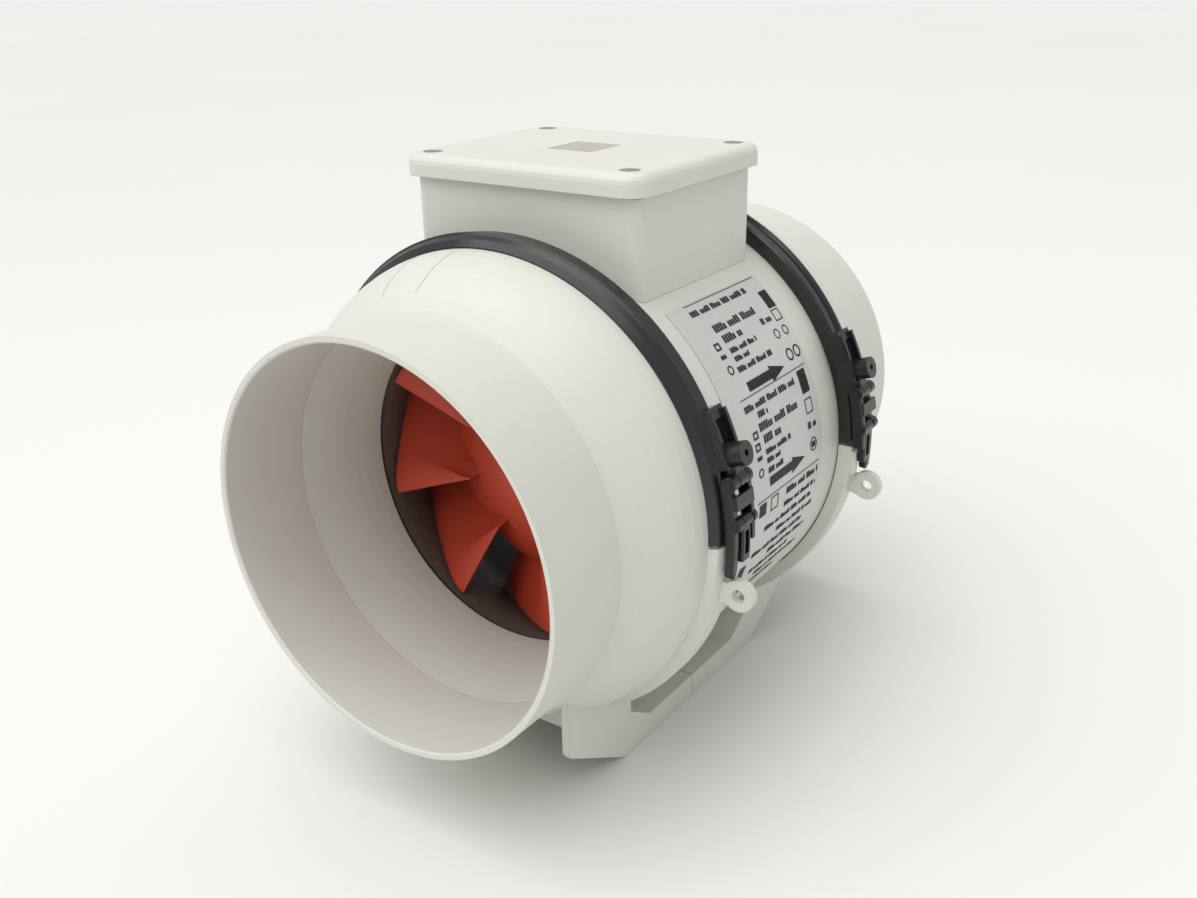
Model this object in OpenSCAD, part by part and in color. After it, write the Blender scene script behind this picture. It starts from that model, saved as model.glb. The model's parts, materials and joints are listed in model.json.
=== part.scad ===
// In-line mixed-flow duct fan: two spigot housings with half a foot each, a
// drop-in fan module between them, and two hinged clamp bands that hold it.
// The fan axis runs along +Y (the way the air goes), +Z is up, and the origin
// is the centre of the inlet mouth.

/* [Casing] */
// Overall length from inlet mouth to outlet mouth
total_l = 264; // [258:1:276]
// Outer radius of both spigots
spigot_r = 79; // [78:0.5:80]
// Straight length of each spigot
spigot_l = 37; // [34:1:40]
// Wall thickness of the moulded casings
wall = 2.5; // [2:0.1:3]
// Outer radius of the middle module
module_r = 92; // [91:0.5:92.5]
// Radius of the clamped flanges
flange_r = 96; // [95.5:0.1:96]

/* [Foot] */
// Distance from the fan axis down to the resting face
foot_drop = 112; // [110:1:118]
// Half width over the foot's side walls
foot_half_w = 52; // [48:1:54]
// Thickness of the foot's side walls
foot_wall = 3; // [2.5:0.1:3.5]
// Radius of the four fixing holes
foot_hole_r = 2.75; // [2.25:0.25:3]
// Spacing of the fixing holes across the fan
foot_hole_x = 50; // [44:1:56]
// Spacing of the fixing holes along the fan
foot_hole_y = 50; // [44:1:56]

/* [Terminal box] */
// Half width of the box walls
box_half_w = 52; // [50:1:54]
// Length of the box along the fan
box_l = 84; // [80:1:86]
// Height of the top of the box wall above the axis
box_top = 113.4; // [112:0.2:116]
// Depth of the lid's skirt and top together
lid_h = 8.4; // [7:0.2:9]
// How far the lid stands out past the box walls
lid_overhang = 3.5; // [2:0.5:4]

/* [Impeller] */
// Number of blades
blade_count = 8; // [6:1:9]
// Running gap between blade tips and shroud
tip_gap = 1.2; // [1:0.1:2]
// Radius of the shaft
shaft_r = 4; // [3:0.5:4.5]

/* [Clamps] */
// Width of each clamp band
band_w = 13; // [12.5:0.5:13.5]
// Radius of the hinge pins
hinge_pin_r = 1.5; // [1.4:0.1:1.6]

/* [Hidden] */
$fn = 96;
eps = 0.01;
mid = total_l / 2;
run_gap = 0.05;
bore_r = spigot_r - wall;

// Joint planes between the housings and the module
seal_t = 1;
plane = 75;
module_y0 = plane + seal_t;
module_y1 = total_l - module_y0;
flange_t = 3.6;
throat_r = 68;
cone_end = 74.2;

// Clamp band section
band_y0 = 69;
band_y1 = band_y0 + band_w;
band_r = 98.4;
groove_r = flange_r + 0.4;
lip_front_r = 94.5;
lip_back_r = module_r + 0.5;
hinge_x = -103.6;
knuckle_r = 4;
split_deg = 0.4;

// Latch on the +X side of each band
pivot_deg = 13.5;
pivot_r = 102.7;
pivot_pin_r = 1.3;
loop_deg = 5;
loop_r = 102.9;
loop_pin_r = 1.2;
boss_deg = 18.6;

// Impeller and motor stations along the axis
hub_sphere_y = 167.9;
hub_sphere_r = 82.6;
hub_rim_r = 50;
hub_rim_y = 102;
hub_end = 116;
blade_le_root = 91;
blade_le_tip = 77.6;
blade_te = 115;
blade_t = 1.8;
shroud_end = 122;
shroud_end_r = 82;
motor_y0 = 119;
motor_y1 = 168;
motor_r = 42;
shaft_y0 = 89;
shaft_y1 = 166;

// Terminal box
box_y0 = mid - box_l / 2;
box_wall = 2.6;
gasket_t = 0.8;
lid_z0 = box_top + gasket_t;
post_x = 45.8;
post_dy = 37.1;
post_r = 4.2;
cap_r = 3.8;
gland_y = 152;
gland_z = 98;

casing_grey = [0.87, 0.87, 0.84];
inner_grey = [0.78, 0.78, 0.75];
band_black = [0.06, 0.06, 0.07];
shroud_grey = [0.3, 0.3, 0.3];
blade_red = [0.75, 0.18, 0.1];
cap_grey = [0.6, 0.6, 0.6];
rubber_black = [0.08, 0.08, 0.08];
steel = [0.7, 0.72, 0.74];

// ---------- shared shapes ----------

// Turns a profile of [radius, y] points round the fan axis
module turned() {
    rotate([-90, 0, 0]) rotate_extrude($fn = 128) children();
}

// The same, from angle a0 to a1 measured from +X towards +Z
module turned_arc(a0, a1) {
    rotate([-90, 0, 0]) rotate([0, 0, -a1])
        rotate_extrude(angle = a1 - a0, $fn = 128) children();
}

// A rod along Y between two stations
module rod_y(r, y0, y1, x = 0, z = 0) {
    translate([x, y0, z]) rotate([-90, 0, 0]) cylinder(r = r, h = y1 - y0);
}

// Moves a shape made for the inlet end to the outlet end
module at_outlet() {
    translate([0, total_l, 0]) mirror([0, 1, 0]) children();
}

function on_ring(r, a) = [r * cos(a), 0, r * sin(a)];

// A rod along Y centred on a point of the ring
module ring_rod(r, y0, y1, ring_r, a) {
    translate(on_ring(ring_r, a)) rod_y(r, y0, y1);
}

// Radius of the convex shoulder at a fraction s of its length
function shoulder_r(s) = spigot_r + (94.2 - spigot_r) * sin(90 * pow(s, 0.85));
shoulder_y1 = 70.2;
function shoulder_y(s) = spigot_l + (shoulder_y1 - spigot_l) * s;
shoulder_n = 8;

// ---------- housings ----------

cone_t = 1.8;
cone_y0 = spigot_l + 1;
cone_seat_r = bore_r + cone_t + 0.2;

module housing_profile() {
    outer = [for (i = [0 : shoulder_n])
        let (s = i / shoulder_n) [shoulder_r(s), shoulder_y(s)]];
    inner = [for (i = [shoulder_n : -1 : 1])
        let (s = i / shoulder_n) [shoulder_r(s) - wall, shoulder_y(s) + 0.6]];
    polygon(concat(
        [[bore_r, 0.6], [bore_r + 0.6, 0], [spigot_r, 0]],
        outer,
        [[lip_front_r - 0.4, 71.4], [flange_r, 71.4], [flange_r, plane],
         [shoulder_r(1) - wall - 4, plane]],
        inner,
        [[cone_seat_r, cone_y0 + 2.4], [cone_seat_r, cone_y0],
         [bore_r, cone_y0]]));
}

module cradle_profile() {
    polygon([[91, 69.4], [lip_front_r - 0.6, band_y0], [97.2, band_y0 + 1.8],
        [band_r, band_y0 + 4.4], [band_r, band_y1 - 0.6],
        [band_r - 0.6, band_y1], [lip_back_r, band_y1],
        [lip_back_r, band_y1 - 2], [groove_r, band_y1 - 2],
        [groove_r, plane], [91, plane]]);
}

// Solid that keeps the foot out of the airway and the module's space
module foot_clearance() {
    inside = [for (i = [0 : shoulder_n])
        let (s = i / shoulder_n) [shoulder_r(s) - 1.2, shoulder_y(s)]];
    turned() polygon(concat([[0, -1], [spigot_r - 1.2, -1]], inside,
        [[97.2, 71.4], [97.2, band_y1 - 0.5], [module_r + 0.8, band_y1 - 0.5],
         [module_r + 0.8, mid + 1], [0, mid + 1]]));
}

foot_y0 = 40.5;
foot_flat_y = 79;
foot_top_z = -89;
window_y = 83.2;
window_flat_y = 97.6;
window_z = -101.4;
floor_t = 2.4;
half_gap = 0.2;
foot_end = mid - half_gap;

module foot_wall_outline() {
    difference() {
        polygon([[foot_y0, -58], [foot_y0, foot_top_z + 1.5],
            [foot_y0 + 1.6, foot_top_z - 0.8], [foot_flat_y, -foot_drop],
            [foot_end, -foot_drop], [foot_end, -60], [foot_y0, -58]]);
        polygon([[window_y, 0], [window_y, -92.4],
            [window_flat_y, window_z], [foot_end + 1, window_z],
            [foot_end + 1, 0]]);
    }
}

// Extrudes an outline of [y, z] points along X
module along_x(x0, x1) {
    translate([x0, 0, 0]) rotate([90, 0, 90])
        linear_extrude(x1 - x0) children();
}

module half_foot() {
    difference() {
        union() {
            for (side = [-1, 1])
                along_x(side * foot_half_w - (side > 0 ? foot_wall : 0),
                        side * foot_half_w + (side > 0 ? 0 : foot_wall))
                    foot_wall_outline();
            along_x(-foot_half_w + 1, foot_half_w - 1) polygon([
                [window_y - 4, -92.4 + 2.4], [window_y, -92.4],
                [window_flat_y, window_z], [foot_end, window_z],
                [foot_end, window_z - floor_t],
                [window_flat_y - 0.7, window_z - floor_t],
                [window_y - 4, -92.4]]);
            along_x(-foot_half_w + 1, foot_half_w - 1)
                polygon([[62, -60], [62, -95], [64.4, -95], [64.4, -60]]);
            for (side = [-1, 1])
                translate([side * foot_hole_x / 2, mid - foot_hole_y / 2,
                    -foot_drop])
                    cylinder(r = foot_hole_r + 3, h = foot_drop + window_z - 1);
        }
        foot_clearance();
        for (side = [-1, 1])
            translate([side * foot_hole_x / 2, mid - foot_hole_y / 2,
                -foot_drop - 1]) cylinder(r = foot_hole_r, h = 20);
    }
}

ear_deg = -10.3;
ear_r = 105.5;
ear_hole_r = 2.5;
ear_y0 = 74;
ear_y1 = 77;

module ear() {
    difference() {
        union() {
            ring_rod(6.2, ear_y0, ear_y1, ear_r, ear_deg);
            rotate([0, -ear_deg, 0]) translate([96.8, ear_y0, -5.4])
                cube([5.6, ear_y1 - ear_y0, 8.4]);
        }
        ring_rod(ear_hole_r, ear_y0 - 1, ear_y1 + 1, ear_r, ear_deg);
    }
}

// Ramp that the latch loop closes over
module latch_lug() {
    turned_arc(-7.4, -1.4) polygon([[96.8, 77.8], [99.4, 77.8],
        [100.6, 78.8], [100.6, 81.2], [99.6, 82], [96.8, 82]]);
}

module cradle_knuckles() {
    for (y = [band_y0 + 0.4, band_y1 - 3.5])
        difference() {
            union() {
                rod_y(knuckle_r, y, y + 3.1, hinge_x, 0);
                translate([hinge_x, y, -knuckle_r + 0.4])
                    cube([6.6, 3.1, knuckle_r - 0.6]);
            }
            rod_y(hinge_pin_r, y - 1, y + 5, hinge_x, 0);
        }
}

module housing() {
    turned() housing_profile();
    turned_arc(-180 + split_deg, -split_deg) cradle_profile();
    half_foot();
    ear();
    latch_lug();
    cradle_knuckles();
}

module inlet_housing() {
    color(casing_grey) housing();
}

module outlet_housing() {
    color(casing_grey) at_outlet() housing();
}

cone_n = 8;
function cone_r(s) = bore_r - (bore_r - throat_r) * (1 - pow(1 - s, 1.6));
function cone_y(s) = cone_y0 + (cone_end - cone_y0) * s;

module inlet_cone() {
    inner = [for (i = [0 : cone_n]) let (s = i / cone_n) [cone_r(s), cone_y(s)]];
    outer = [for (i = [cone_n : -1 : 0])
        let (s = i / cone_n) [cone_r(s) + cone_t, cone_y(s)]];
    color(inner_grey) turned() polygon(concat(inner, outer));
}

// The outlet side widens towards the module instead of narrowing
out_cone_r = 83;
module outlet_cone() {
    n = cone_n;
    inner = [for (i = [0 : n]) let (s = i / n)
        [bore_r + (out_cone_r - bore_r) * (0.5 - 0.5 * cos(180 * s)),
         cone_y(s)]];
    outer = [for (i = [n : -1 : 0]) let (s = i / n)
        [bore_r + cone_t + (out_cone_r - bore_r) * (0.5 - 0.5 * cos(180 * s)),
         cone_y(s)]];
    color(inner_grey) at_outlet() turned() polygon(concat(inner, outer));
}

module seal_ring() {
    turned() polygon([[89.6, plane], [95, plane],
        [95, plane + seal_t], [89.6, plane + seal_t]]);
}

module inlet_seal() {
    color(rubber_black) seal_ring();
}

module outlet_seal() {
    color(rubber_black) at_outlet() seal_ring();
}

// ---------- fan module ----------

lead_hole_r = 5;
lead_x = 18;
casing_r = module_r - wall;

module module_casing() {
    color(casing_grey) difference() {
        turned() polygon([[casing_r, module_y0], [flange_r, module_y0],
            [flange_r, module_y0 + flange_t - 1],
            [flange_r - 1, module_y0 + flange_t],
            [module_r, module_y0 + flange_t],
            [module_r, module_y1 - flange_t],
            [flange_r - 1, module_y1 - flange_t],
            [flange_r, module_y1 - flange_t + 1],
            [flange_r, module_y1], [casing_r, module_y1]]);
        translate([lead_x, 140, 60]) cylinder(r = lead_hole_r, h = 40);
    }
}

function shroud_r(y) = throat_r + 0.4
    + (shroud_end_r - throat_r - 0.4)
    * (0.5 - 0.5 * cos(180 * max(0, min(1, (y - 78) / (118 - 78)))));

module impeller_shroud() {
    n = 10;
    shroud_t = 2;
    inner = [for (i = [0 : n])
        let (y = module_y0 + (shroud_end - module_y0) * i / n) [shroud_r(y), y]];
    outer = [for (i = [n : -1 : 1])
        let (y = module_y0 + (shroud_end - module_y0) * i / n)
            [shroud_r(y) + shroud_t, y]];
    color(shroud_grey) turned() polygon(concat(inner, outer,
        [[throat_r + 2.4, 78], [casing_r, 78], [casing_r, module_y0]]));
}

function hub_r(y) = y >= hub_rim_y ? hub_rim_r
    : sqrt(max(0, pow(hub_sphere_r, 2) - pow(hub_sphere_y - y, 2)));

blade_sweep = 45;
blade_chord_n = 10;
blade_span_n = 5;

blade_root_gap = 0.8;

// A point of a blade: s runs from hub to tip, c along the chord, t across it
function blade_y(s, c) =
    let (le = blade_le_root + (blade_le_tip - blade_le_root) * s)
    le + (blade_te - le) * c;
function blade_radius(s, y) =
    (hub_r(y) + blade_root_gap) * (1 - s) + (shroud_r(y) - tip_gap) * s;
function blade_angle(s, c) = -1.5 * (1 - s) - blade_sweep * pow(c, 0.7);
function blade_point(s, c, t) =
    let (edge = min(1, 0.35 + 3 * min(c, 1 - c)),
         a = blade_angle(s, c),
         y = blade_y(s, c) + t * edge * 0.8,
         r = blade_radius(s, y))
    [r * cos(a) - t * edge * 0.6 * sin(a), y, r * sin(a) + t * edge * 0.6 * cos(a)];

module blade() {
    cols = blade_chord_n + 1;
    layer = cols * (blade_span_n + 1);
    half = blade_t / 2;
    points = [for (t = [-half, half]) for (j = [0 : blade_span_n])
        for (i = [0 : blade_chord_n])
            blade_point(j / blade_span_n, i / blade_chord_n, t)];
    low = [for (j = [0 : blade_span_n - 1]) for (i = [0 : blade_chord_n - 1])
        let (k = j * cols + i) each [[k, k + cols + 1, k + 1],
            [k, k + cols, k + cols + 1]]];
    high = [for (f = low) [f[0] + layer, f[2] + layer, f[1] + layer]];
    rim = concat([for (i = [0 : blade_chord_n - 1]) i],
        [for (j = [0 : blade_span_n - 1]) j * cols + blade_chord_n],
        [for (i = [blade_chord_n : -1 : 1]) blade_span_n * cols + i],
        [for (j = [blade_span_n : -1 : 1]) j * cols]);
    n = len(rim);
    side = [for (i = [0 : n - 1]) let (a = rim[i], b = rim[(i + 1) % n])
        each [[a, b + layer, a + layer], [a, b, b + layer]]];
    polyhedron(points, concat(low, high, side));
}

first_blade = 153.5;

module impeller_hub() {
    n = 8;
    hub_t = 2.2;
    dome_y0 = 86.2;
    dome = [for (i = [0 : n])
        let (y = dome_y0 + (hub_rim_y - dome_y0) * i / n) [hub_r(y), y]];
    inside = [for (i = [n : -1 : 2])
        let (y = dome_y0 + (hub_rim_y - dome_y0) * i / n) [hub_r(y) - 2, y + hub_t]];
    color(blade_red) difference() {
        turned() polygon(concat([[0, dome_y0]], dome,
            [[hub_rim_r, hub_end], [hub_rim_r - hub_t, hub_end]],
            inside, [[9, 93.2], [9, 108], [0, 108]]));
        rod_y(shaft_r, 80, 120);
        rod_y(8.5, 80, 91.2);
    }
}

// The wheel's blades, each fixed to the hub along its root
module impeller_blades() {
    color(blade_red) for (i = [0 : blade_count - 1])
        rotate([0, -first_blade - i * 360 / blade_count, 0]) blade();
}

module impeller_nut() {
    color(steel) difference() {
        union() {
            rod_y(7.6, 90, 91.2);
            translate([0, 86.6, 0]) rotate([-90, 0, 0])
                cylinder(r = 6.6, h = 3.4, $fn = 6);
        }
        rod_y(shaft_r, 80, 100);
    }
}

module motor_shaft() {
    color(steel) rod_y(shaft_r, 86.9, shaft_y1);
}

module motor_rotor() {
    color([0.5, 0.5, 0.52]) difference() {
        rod_y(19.4, 130, 156);
        rod_y(shaft_r, 129, 157);
    }
}

bearing_r = 11;
module bearing(y0) {
    color(steel) difference() {
        rod_y(bearing_r, y0, y0 + 7);
        rod_y(shaft_r + run_gap, y0 - 1, y0 + 8);
    }
}

module front_bearing() {
    bearing(121.6);
}

module rear_bearing() {
    bearing(158.4);
}

motor_split = 143;
module motor_front_shell() {
    color([0.72, 0.73, 0.75]) difference() {
        rod_y(motor_r, motor_y0, motor_split);
        rod_y(motor_r - 2.4, 129, motor_split + 1);
        rod_y(bearing_r, 121.6, 130);
        rod_y(6, motor_y0 - 1, 130);
        motor_screw_holes(1.6);
    }
}

module motor_rear_shell() {
    color([0.72, 0.73, 0.75]) difference() {
        rod_y(motor_r, motor_split, motor_y1);
        rod_y(motor_r - 2.4, motor_split - 1, 158);
        rod_y(bearing_r, 157, 165.4);
        rod_y(6, 160, motor_y1 + 1);
        motor_screw_holes(1.6);
        translate([0, 150, 30]) cylinder(r = 4, h = 20);
    }
}

module motor_screw_holes(r) {
    for (i = [0 : 2])
        rotate([0, 30 + i * 120, 0])
            rod_y(r, motor_y0 - 1, motor_y1 + 1, 37.2, 0);
}

module motor_screws() {
    color(steel) for (i = [0 : 2])
        rotate([0, 30 + i * 120, 0]) {
            rod_y(1.6, motor_y0, motor_y1, 37.2, 0);
            rod_y(3, motor_y1, motor_y1 + 2, 37.2, 0);
        }
}

module stator_core() {
    color([0.45, 0.45, 0.48]) difference() {
        rod_y(34.6, 131, 155);
        rod_y(20, 130, 156);
        for (i = [0 : 7])
            rotate([0, 22.5 + i * 45, 0]) translate([25, 130, -3])
                cube([6, 26, 6]);
    }
}

module stator_windings() {
    color([0.72, 0.42, 0.2]) difference() {
        union() {
            rod_y(31.5, 129.4, 130.9);
            rod_y(31.5, 155.1, 157.6);
            for (i = [0 : 7])
                rotate([0, 22.5 + i * 45, 0]) translate([25.3, 130, -2.7])
                    cube([5.4, 26, 5.4]);
        }
        rod_y(24.8, 128, 130.95);
        rod_y(24.8, 155.05, 160);
    }
}

vane_count = 9;
vane_ring_r = 84;
sleeve_in_r = hub_rim_r - 2.4;

vane_gap = 0.1;

// Sleeve that holds the motor
module stator_sleeve() {
    color(shroud_grey) difference() {
        turned() polygon([[motor_r, 122.4], [hub_rim_r, 122.4],
            [hub_rim_r, 170], [motor_r, 170], [motor_r, 167.6],
            [sleeve_in_r, 167.6], [sleeve_in_r, 124.8], [motor_r, 124.8]]);
        translate([0, 150, 40]) cylinder(r = 3, h = 12);
    }
}

// Ring that carries the vanes in the casing
module vane_ring() {
    color(shroud_grey) difference() {
        turned() polygon([[vane_ring_r, 122.4], [casing_r, 122.4],
            [casing_r, 125], [vane_ring_r + 2, 125],
            [vane_ring_r + 2, 184], [casing_r, 184],
            [casing_r, 186], [vane_ring_r, 186]]);
        rotate([0, lead_turn, 0]) translate([0, 150, 80])
            cylinder(r = 4.5, h = 10);
    }
}

// Fixed vanes between sleeve and ring, which straighten the air
module guide_vanes() {
    color(shroud_grey) difference() {
        intersection() {
            for (i = [0 : vane_count - 1])
                rotate([0, i * 360 / vane_count, 0])
                    translate([67, 128, 0]) rotate([0, 90, 0])
                        linear_extrude(36, center = true)
                            guide_vane_section();
            rod_y(vane_ring_r - vane_gap, 120, 190);
        }
        rod_y(hub_rim_r + vane_gap, 100, 200);
    }
}

lead_turn = 12;
module guide_vane_section() {
    arc_r = 60;
    vane_t = 1.8;
    n = 8;
    front = [for (i = [0 : n]) let (a = 42 * i / n)
        [arc_r * (cos(a) - 1), 40 - arc_r * sin(a)]];
    back = [for (i = [n : -1 : 0]) let (a = 42 * i / n)
        [arc_r * (cos(a) - 1) - vane_t, 40 - arc_r * sin(a)]];
    polygon(concat(front, back));
}

module tail_fairing() {
    n = 8;
    fairing = [for (i = [0 : n]) let (a = 90 * i / n)
        [49.6 * cos(a) + 0, 170.2 + 15 * sin(a)]];
    inside = [for (i = [n : -1 : 0]) let (a = 90 * i / n)
        [47.4 * cos(a), 170.2 + 12.8 * sin(a)]];
    color(shroud_grey) turned() polygon(concat(fairing, inside));
}

// ---------- terminal box ----------

module box_plan(grow = 0) {
    r = 5 + grow;
    w = 2 * (box_half_w + grow);
    l = box_l + 2 * grow;
    translate([0, mid]) union() {
        square([w - 2 * r, l], center = true);
        square([w, l - 2 * r], center = true);
        for (sx = [-1, 1]) for (sy = [-1, 1])
            translate([sx * (w / 2 - r), sy * (l / 2 - r)]) circle(r = r);
    }
}

module box_posts(r, z0, z1) {
    for (sx = [-1, 1]) for (sy = [-1, 1])
        translate([sx * post_x, mid + sy * post_dy, z0])
            cylinder(r = r, h = z1 - z0);
}

module terminal_box() {
    color(casing_grey) difference() {
        union() {
            difference() {
                translate([0, 0, 60]) linear_extrude(box_top - 60) box_plan();
                translate([0, 0, 50]) linear_extrude(80) box_plan(-box_wall);
            }
            intersection() {
                box_posts(post_r, 60, box_top);
                translate([0, 0, 50]) linear_extrude(80) box_plan(-1);
            }
        }
        rod_y(module_r, 60, 220);
        box_posts(1.5, box_top - 14, box_top + 1);
        translate([-box_half_w - 5, gland_y, gland_z]) rotate([0, 90, 0])
            cylinder(r = 8, h = 12);
    }
}

lid_top = lid_z0 + lid_h;
lid_round = 4;
lid_t = 2.4;

// Lid outline: a rounded rectangle whose sides bow outwards
module lid_plan(inset) {
    bow = 900;
    hw = box_half_w + lid_overhang;
    hl = box_l / 2 + 2.2;
    offset(r = 9 - inset, $fn = 32) offset(delta = -9) translate([0, mid])
        intersection() {
            square([2 * hw, 2 * hl + 4], center = true);
            for (s = [-1, 1]) translate([0, s * (hl - bow)])
                circle(r = bow, $fn = 360);
        }
}

module lid_layers(shrink, z0, z1, round_r) {
    slice = 0.1;
    hull() {
        translate([0, 0, z0]) linear_extrude(slice) lid_plan(shrink);
        for (a = [0, 22.5, 45, 67.5, 90])
            translate([0, 0, z1 - round_r + (round_r - slice) * sin(a)])
                linear_extrude(slice) lid_plan(shrink + round_r * (1 - cos(a)));
    }
}

module box_lid() {
    color(casing_grey) difference() {
        lid_layers(0, lid_z0, lid_top, lid_round);
        difference() {
            lid_layers(lid_t, lid_z0 - 1, lid_top - lid_t, 1.5);
            box_posts(post_r + 1.4, lid_z0 - 2, lid_top);
            translate([0, 0, lid_z0 - 2]) linear_extrude(3.4)
                difference() {
                    box_plan();
                    box_plan(-box_wall);
                }
        }
        box_posts(cap_r + run_gap, lid_top - 3.4, lid_top + 1);
        box_posts(1.8, lid_z0 - 1, lid_top);
        translate([-badge_w / 2, mid - badge_w / 2, lid_top - 0.6])
            cube([badge_w, badge_w, 2]);
    }
}

module lid_gasket() {
    color(rubber_black) translate([0, 0, box_top])
        linear_extrude(gasket_t) difference() {
            box_plan();
            box_plan(-box_wall);
        }
}

module lid_screws() {
    color(steel) {
        box_posts(1.5, box_top - 13, lid_top - 5.2);
        box_posts(3.2, lid_top - 5.2 + 1.8, lid_top - 2.2);
    }
}

module screw_caps() {
    color(cap_grey) box_posts(cap_r, lid_top - 2.2, lid_top - 0.2);
}

badge_w = 21;
module lid_badge() {
    color([0.8, 0.79, 0.76])
        translate([-badge_w / 2 + 0.15, mid - badge_w / 2 + 0.15, lid_top - 0.6])
            cube([badge_w - 0.3, badge_w - 0.3, 0.5]);
}

block_z = 94;
block_y0 = 110;
way = 9;
ways = 4;

module terminal_block() {
    color([0.93, 0.93, 0.9]) difference() {
        translate([-38, block_y0, block_z]) cube([24, ways * way, 12]);
        for (i = [0 : ways - 1]) {
            y = block_y0 + (i + 0.5) * way;
            translate([-39, y, block_z + 4.5]) rotate([0, 90, 0])
                cylinder(r = 2.2, h = 26);
            for (x = [-33.5, -18.5])
                translate([x, y, block_z + 6]) cylinder(r = 2, h = 10);
        }
    }
    color([0.93, 0.93, 0.9]) difference() {
        translate([-35, block_y0 + 4, 70]) cube([18, ways * way - 8, block_z - 70]);
        rod_y(module_r, 60, 220);
    }
}

module terminal_screws() {
    color(steel) for (i = [0 : ways - 1]) for (x = [-33.5, -18.5])
        translate([x, block_y0 + (i + 0.5) * way, block_z + 6.8])
            cylinder(r = 1.9, h = 3.6);
}

cap_x = 31;
cap_z = 103;
module run_capacitor() {
    color([0.9, 0.9, 0.88]) {
        rod_y(8.2, 104, 150, cap_x, cap_z);
        rod_y(3, 150, 154, cap_x, cap_z);
    }
}

module capacitor_clip() {
    color([0.2, 0.2, 0.2]) difference() {
        union() {
            rod_y(10, 120, 128, cap_x, cap_z);
            translate([cap_x - 6, 120, 80]) cube([12, 8, cap_z - 88]);
        }
        rod_y(8.25, 100, 160, cap_x, cap_z);
        rod_y(module_r, 60, 220);
        translate([cap_x - 5, 118, cap_z + 4]) cube([10, 12, 10]);
    }
}

// Three leads rise from the motor through the casing to the block
module motor_leads() {
    colours = ["royalblue", "saddlebrown", "gold"];
    for (i = [0 : 2]) {
        x = lead_x - 3 + 3 * i;
        color(colours[i]) {
            translate([x, 140, 87]) cylinder(r = 1, h = 97 - 87);
            translate([x, 140, 97]) sphere(r = 1.05, $fn = 24);
            translate([-10 - 1.5 * i, 140, 97]) rotate([0, 90, 0])
                cylinder(r = 1, h = x + 10 + 1.5 * i);
        }
    }
}

gland_x = -box_half_w;
module cable_gland() {
    color(cap_grey) difference() {
        union() {
            translate([gland_x - 5, gland_y, gland_z]) rotate([0, 90, 0])
                cylinder(r = 11, h = 5, $fn = 6);
            translate([gland_x - 1, gland_y, gland_z]) rotate([0, 90, 0])
                cylinder(r = 7.9, h = 9);
            translate([gland_x - 13, gland_y, gland_z]) rotate([0, 90, 0])
                cylinder(r = 9.4, h = 8.2);
        }
        translate([gland_x - 14, gland_y, gland_z]) rotate([0, 90, 0])
            cylinder(r = 6.4, h = 30);
    }
}

module gland_seal() {
    color(rubber_black) difference() {
        translate([gland_x - 12, gland_y, gland_z]) rotate([0, 90, 0])
            cylinder(r = 6.4, h = 9);
        translate([gland_x - 14, gland_y, gland_z]) rotate([0, 90, 0])
            cylinder(r = 4.2, h = 14);
    }
}

module gland_nut() {
    color(cap_grey) difference() {
        translate([gland_x + box_wall, gland_y, gland_z]) rotate([0, 90, 0])
            cylinder(r = 10.5, h = 4, $fn = 6);
        translate([gland_x, gland_y, gland_z]) rotate([0, 90, 0])
            cylinder(r = 7.9, h = 10);
    }
}

// Clamp that holds the cord beside the terminal block
clamp_y = 155.5;
module cord_clamp() {
    color([0.93, 0.93, 0.9]) difference() {
        translate([-38, clamp_y - 7.5, 88]) cube([8, 15, 9]);
        rod_y(module_r, 60, 220);
        for (s = [-1, 1])
            translate([-34, clamp_y + s * 5.3, 80]) cylinder(r = 1.2, h = 30);
        translate([-40, clamp_y, 96]) rotate([0, 90, 0]) cylinder(r = 3.6, h = 14);
    }
}

module clamp_screws() {
    color(steel) for (s = [-1, 1]) {
        translate([-34, clamp_y + s * 5.3, 89]) cylinder(r = 1.2, h = 8);
        translate([-34, clamp_y + s * 5.3, 97]) cylinder(r = 2.1, h = 1.6);
    }
}

label_t = 0.3;
label_y0 = 98.5;
label_y1 = 165.5;
module rating_label() {
    color([0.93, 0.93, 0.93]) turned_arc(-38, 51) polygon([
        [module_r, label_y0], [module_r + label_t, label_y0],
        [module_r + label_t, label_y1], [module_r, label_y1]]);
}

// ---------- clamp bands and latches ----------

module band_profile() {
    polygon([[lip_front_r, band_y0], [97.2, band_y0 + 1.8],
        [band_r, band_y0 + 4.2], [band_r + 0.9, band_y0 + 4.8],
        [band_r + 0.9, band_y0 + 6], [band_r - 0.2, band_y0 + 6.8],
        [band_r, band_y1 - 1], [band_r - 1, band_y1],
        [lip_back_r, band_y1], [lip_back_r, band_y1 - 1.8],
        [groove_r, band_y1 - 2.2], [groove_r, band_y0 + 2],
        [lip_front_r, band_y0 + 2]]);
}

bracket_a0 = 16.2;
bracket_a1 = 28;
bracket_y0 = band_y0 + 4.4;
bracket_y1 = band_y1 + 2.2;
cheek_t = 1.6;

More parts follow.
